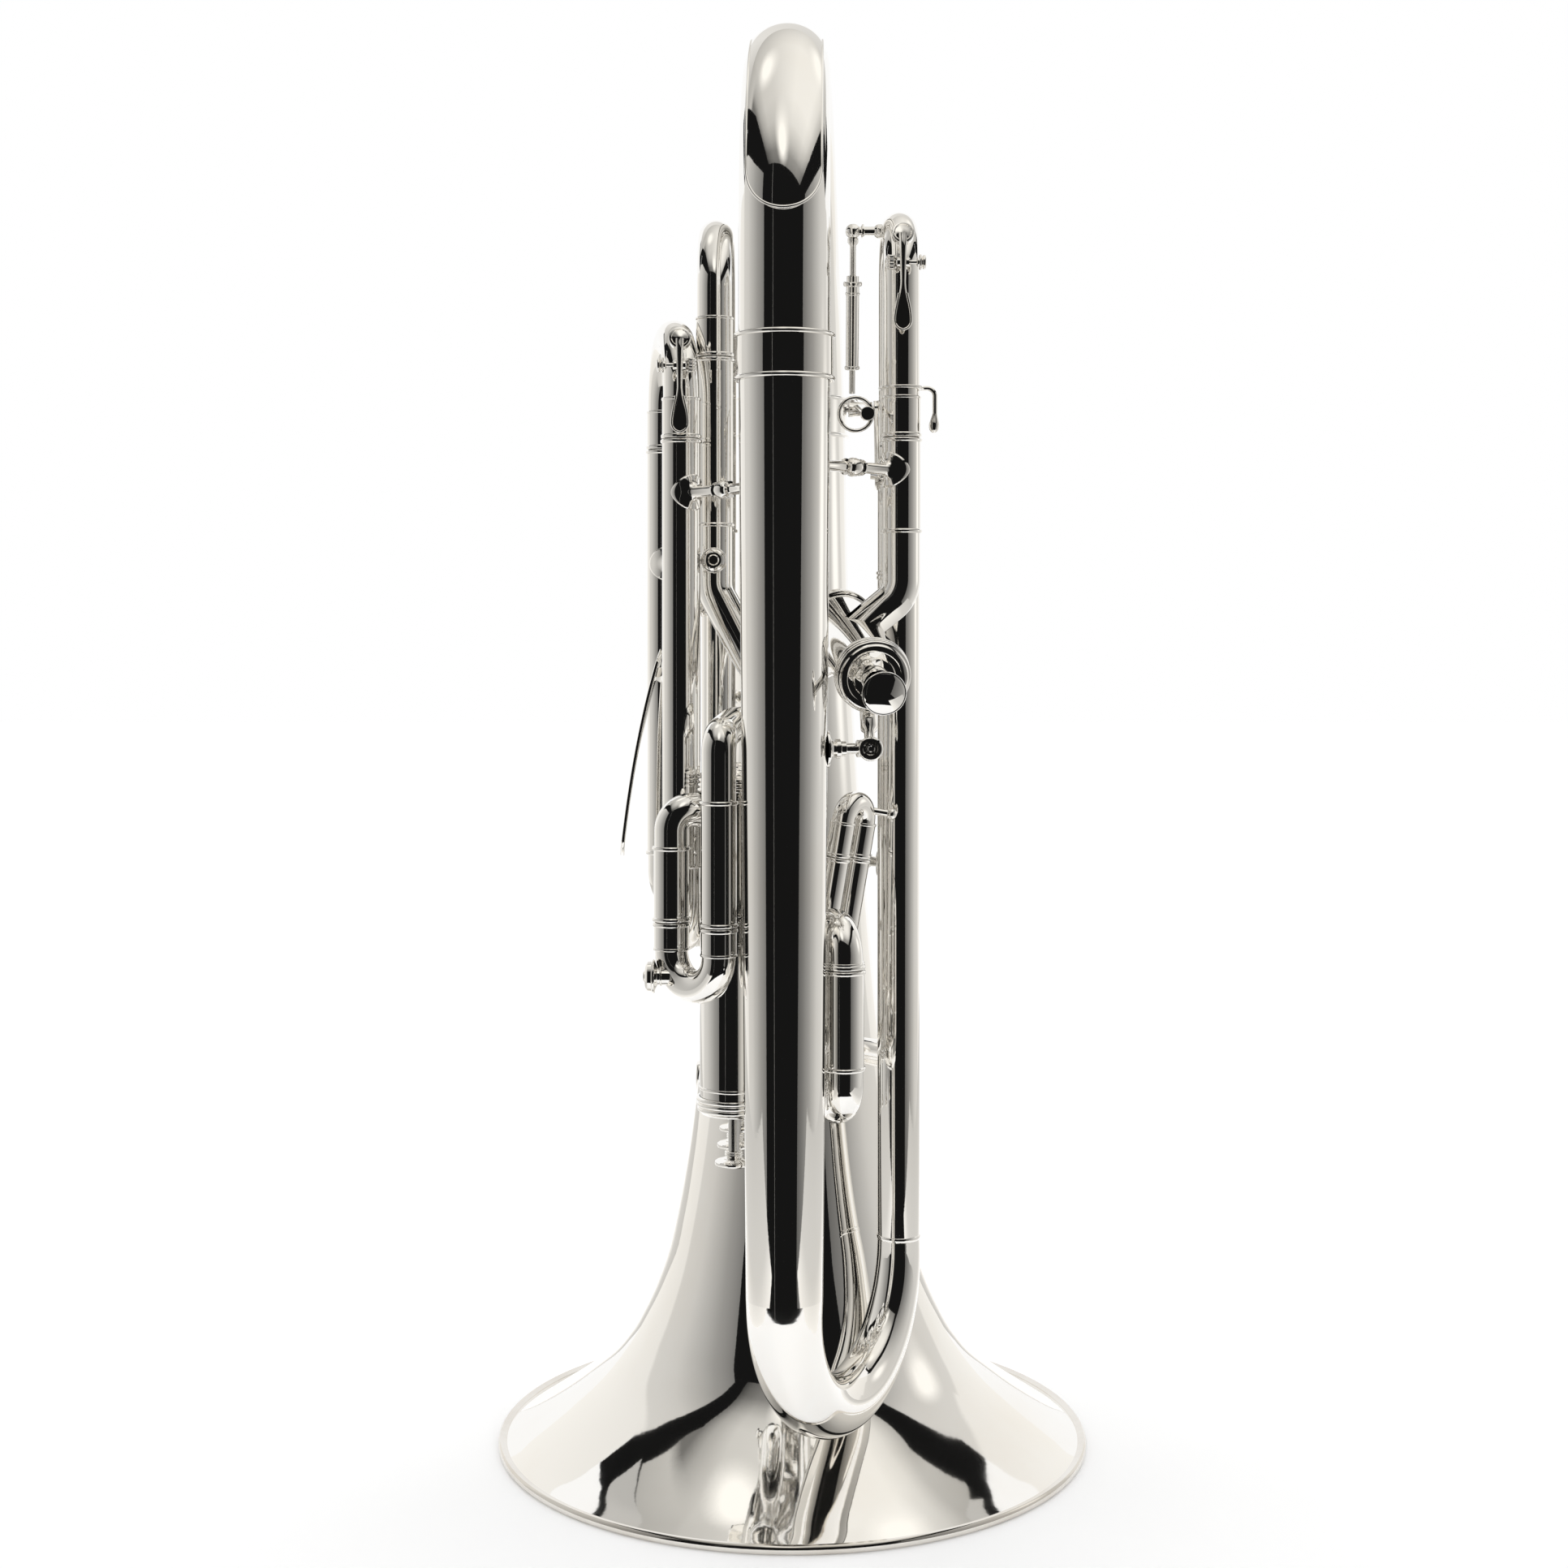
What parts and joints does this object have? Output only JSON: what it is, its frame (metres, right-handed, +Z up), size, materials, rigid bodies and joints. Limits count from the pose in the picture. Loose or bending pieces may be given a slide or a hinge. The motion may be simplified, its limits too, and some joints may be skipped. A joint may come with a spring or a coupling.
{
  "type": "compensating euphonium",
  "caption": "Silver-plated valved brass instrument on its bell: wide conical bow, top-action valves in line, a side valve, slides, tuning trigger, water keys and a mouthpipe.",
  "frame": {"origin": "middle of the footprint, on the surface that the bell rim stands on", "axes": "+Z up along the bell's axis, -Y the side that shows the main leg and the side valve"},
  "size_m": [0.3, 0.3392, 0.7001],
  "materials": {
    "silver": "polished silver plate",
    "steel": "drawn spring wire",
    "monel": "ground nickel alloy"
  },
  "bodies": {
    "body": {"bell": "silver", "bottom_bow": "silver", "bell_ferrule": "silver", "leg_ferrule": "silver", "main_leg": "silver", "foot_bend": "silver", "branch_tube": "silver", "bow_guard": "silver", "tuning_sleeve_back": "silver", "tuning_sleeve_front": "silver", "valve_1_casing": "silver", "valve_1_stem_cap": "silver", "valve_1_bottom_cap": "silver", "valve_1_spring": "steel", "valve_2_casing": "silver", "valve_2_stem_cap": "silver", "valve_2_bottom_cap": "silver", "valve_2_spring": "steel", "valve_3_casing": "silver", "valve_3_stem_cap": "silver", "valve_3_bottom_cap": "silver", "valve_3_spring": "steel", "valve_4_casing": "silver", "valve_4_stem_cap": "silver", "valve_4_bottom_cap": "silver", "valve_4_spring": "steel", "tuning_elbow": "silver", "fourth_tube_front": "silver", "fourth_tube_back": "silver", "upper_tube_front": "silver", "upper_tube_back": "silver", "third_tube_front": "silver", "third_tube_back": "silver", "second_tube_front": "silver", "second_tube_back": "silver", "mouthpipe": "silver", "mouthpiece_receiver": "silver", "first_tube_front": "silver", "first_tube_back": "silver", "hand_rest": "silver"},
    "valve_1_plunger": {"valve_1_piston": "monel", "valve_1_finger_button": "silver"},
    "valve_2_plunger": {"valve_2_piston": "monel", "valve_2_finger_button": "silver"},
    "valve_3_plunger": {"valve_3_piston": "monel", "valve_3_finger_button": "silver"},
    "valve_4_plunger": {"valve_4_piston": "monel", "valve_4_finger_button": "silver"},
    "tuning_crook": {"tuning_slide": "silver", "trigger_rod": "silver"},
    "trigger": {"trigger_lever": "silver"},
    "fourth_crook": {"fourth_slide": "silver"},
    "upper_crook": {"upper_slide": "silver"},
    "third_crook": {"third_slide": "silver"},
    "second_crook": {"second_slide": "silver"},
    "first_crook": {"first_slide": "silver"},
    "tuning_key": {"tuning_water_key": "silver"},
    "fourth_key": {"fourth_water_key": "silver"},
    "third_key": {"third_water_key": "silver"},
    "upper_key": {"upper_water_key": "silver"}
  },
  "joints": [
    {"name": "valve_1_press", "type": "slide", "parent": "body", "child": "valve_1_plunger", "axis": [0, 0, 1], "range_m": [0, 0.016], "stiffness_N_per_m": 160, "springref_m": -0.01, "deforming": ["valve_1_spring"]},
    {"name": "valve_2_press", "type": "slide", "parent": "body", "child": "valve_2_plunger", "axis": [0, 0, 1], "range_m": [0, 0.016], "stiffness_N_per_m": 160, "springref_m": -0.01, "deforming": ["valve_2_spring"]},
    {"name": "valve_3_press", "type": "slide", "parent": "body", "child": "valve_3_plunger", "axis": [0, 0, 1], "range_m": [0, 0.016], "stiffness_N_per_m": 160, "springref_m": -0.01, "deforming": ["valve_3_spring"]},
    {"name": "valve_4_press", "type": "slide", "parent": "body", "child": "valve_4_plunger", "axis": [-0.1322, 0.9588, 0.2513], "range_m": [0, 0.016], "stiffness_N_per_m": 160, "springref_m": -0.01, "deforming": ["valve_4_spring"]},
    {"name": "trigger_turn", "type": "hinge", "parent": "body", "child": "trigger", "pos_m": [0.0285, -0.07845, 0.517], "axis": [1, 0, 0], "range_deg": [0, 19.1], "stiffness_Nm_per_rad": 0.4, "springref_deg": -11.46},
    {"name": "tuning_slide_move", "type": "slide", "parent": "body", "child": "tuning_crook", "axis": [0, 0, 1], "range_m": [0, 0.008]},
    {"name": "fourth_slide_pull", "type": "slide", "parent": "body", "child": "fourth_crook", "axis": [0, 0, 1], "range_m": [0, 0.06]},
    {"name": "upper_slide_pull", "type": "slide", "parent": "body", "child": "upper_crook", "axis": [0, 0, 1], "range_m": [0, 0.04]},
    {"name": "third_slide_pull", "type": "slide", "parent": "body", "child": "third_crook", "axis": [0, 0, -1], "range_m": [0, 0.018]},
    {"name": "second_slide_pull", "type": "slide", "parent": "body", "child": "second_crook", "axis": [0, 0, 1], "range_m": [0, 0.014]},
    {"name": "first_slide_pull", "type": "slide", "parent": "body", "child": "first_crook", "axis": [0.1643, 0, 0.9864], "range_m": [0, 0.018]},
    {"name": "tuning_key_turn", "type": "hinge", "parent": "tuning_crook", "child": "tuning_key", "pos_m": [0.05, -0.10895, 0.581], "axis": [1, 0, 0], "range_deg": [0, 6], "stiffness_Nm_per_rad": 0.05, "springref_deg": -11.46},
    {"name": "fourth_key_turn", "type": "hinge", "parent": "fourth_crook", "child": "fourth_key", "pos_m": [-0.052, -0.10195, 0.535], "axis": [1, 0, 0], "range_deg": [0, 6], "stiffness_Nm_per_rad": 0.05, "springref_deg": -11.46},
    {"name": "third_key_press", "type": "slide", "parent": "third_crook", "child": "third_key", "axis": [1, 0, 0], "range_m": [0, 0.0015], "stiffness_N_per_m": 300, "springref_m": -0.003},
    {"name": "upper_key_press", "type": "slide", "parent": "body", "child": "upper_key", "axis": [0, 1, 0], "range_m": [0, 0.0015], "stiffness_N_per_m": 300, "springref_m": -0.003}
  ],
  "couplings": [
    {"joint": "trigger_turn", "follows": "tuning_slide_move", "rad_per_m": 41.667}
  ]
}
